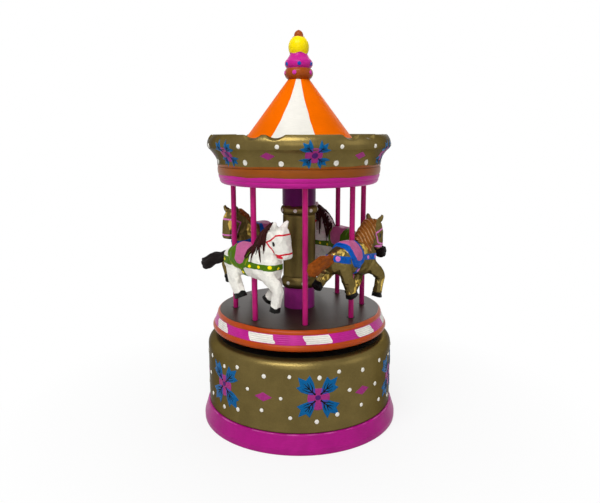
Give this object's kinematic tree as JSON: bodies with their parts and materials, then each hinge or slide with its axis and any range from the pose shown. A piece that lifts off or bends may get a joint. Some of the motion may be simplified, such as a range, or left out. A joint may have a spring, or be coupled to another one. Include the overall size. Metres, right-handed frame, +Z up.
{
  "type": "wind up music box",
  "caption": "Painted wooden carousel music box: horses on poles under a scalloped canopy turn on a drum base as it plays.",
  "frame": {"origin": "middle of the foot's underside, on the table", "axes": "+Z up along the turning axis, -Y towards the viewer's front"},
  "size_m": [0.1, 0.1, 0.1941],
  "materials": {
    "magenta_paint": "gloss paint on turned wood",
    "gold_paint": "metallic gold-bronze paint on turned wood",
    "rim_paint": "striped paint on turned wood",
    "column_paint": "metallic and purple paint on turned wood",
    "pole_paint": "gloss paint on dowel",
    "canopy_paint": "banded paint on turned wood",
    "roof_paint": "striped paint on turned wood",
    "finial_paint": "painted turned wood",
    "white_horse_paint": "painted carved wood",
    "gold_horse_paint": "metallic paint on carved wood",
    "dark_tail_paint": "painted carved wood",
    "brown_tail_paint": "painted carved wood",
    "plywood": "bare sanded",
    "screw_steel": "zinc plated",
    "spring_steel": "blued",
    "movement_brass": "machined",
    "movement_zinc": null,
    "bracket_steel": "stamped"
  },
  "bodies": {
    "base": {"base_foot": "magenta_paint", "base_drum": "gold_paint", "bottom_cover": "plywood", "cover_screws": "screw_steel", "arbor_bush": "movement_brass", "movement_bedplate": "movement_zinc", "movement_screws": "screw_steel", "spring_housing": "movement_zinc", "mainspring": "spring_steel", "sound_comb": "spring_steel", "comb_screws": "screw_steel", "governor_bracket": "bracket_steel", "governor_screw": "screw_steel"},
    "carousel": {"canopy_base": "canopy_paint", "canopy_rim": "gold_paint", "centre_column": "column_paint", "crown_gear": "movement_brass", "finial": "finial_paint", "flange_screws": "screw_steel", "gold_horse_back": "gold_horse_paint", "gold_horse_back_tail": "brown_tail_paint", "gold_horse_front": "gold_horse_paint", "gold_horse_front_tail": "brown_tail_paint", "horse_pole_1": "pole_paint", "horse_pole_2": "pole_paint", "horse_pole_3": "pole_paint", "horse_pole_4": "pole_paint", "plain_pole_1": "pole_paint", "plain_pole_2": "pole_paint", "plain_pole_3": "pole_paint", "plain_pole_4": "pole_paint", "platform": "rim_paint", "roof_cone": "roof_paint", "turntable_flange": "movement_zinc", "white_horse_back": "white_horse_paint", "white_horse_back_tail": "dark_tail_paint", "white_horse_front": "white_horse_paint", "white_horse_front_tail": "dark_tail_paint", "winding_arbor": "bracket_steel"},
    "cylinder": {"pin_cylinder": "movement_brass", "cylinder_arbor": "bracket_steel", "cylinder_pinion": "movement_brass", "cylinder_gear": "movement_brass"},
    "governor": {"governor_pinion": "movement_brass", "governor_wheel": "movement_brass"},
    "fan": {"worm_spindle": "bracket_steel", "air_brake": "movement_brass"}
  },
  "joints": [
    {"name": "carousel_turn", "type": "hinge", "parent": "base", "child": "carousel", "pos_m": [0, 0, 0], "axis": [0, 0, 1], "continuous": true},
    {"name": "cylinder_turn", "type": "hinge", "parent": "base", "child": "cylinder", "pos_m": [0.0244, 0, 0.02885], "axis": [1, 0, 0], "continuous": true},
    {"name": "governor_turn", "type": "hinge", "parent": "base", "child": "governor", "pos_m": [0.0342, 0.00894, 0.02646], "axis": [1, 0, 0], "continuous": true},
    {"name": "fan_turn", "type": "hinge", "parent": "base", "child": "fan", "pos_m": [0.035, 0.01459, 0.02646], "axis": [0, 0, 1], "continuous": true}
  ],
  "couplings": [
    {"joint": "cylinder_turn", "follows": "carousel_turn", "ratio": -3.6667},
    {"joint": "governor_turn", "follows": "carousel_turn", "ratio": 13.2},
    {"joint": "fan_turn", "follows": "carousel_turn", "ratio": -105.6}
  ]
}
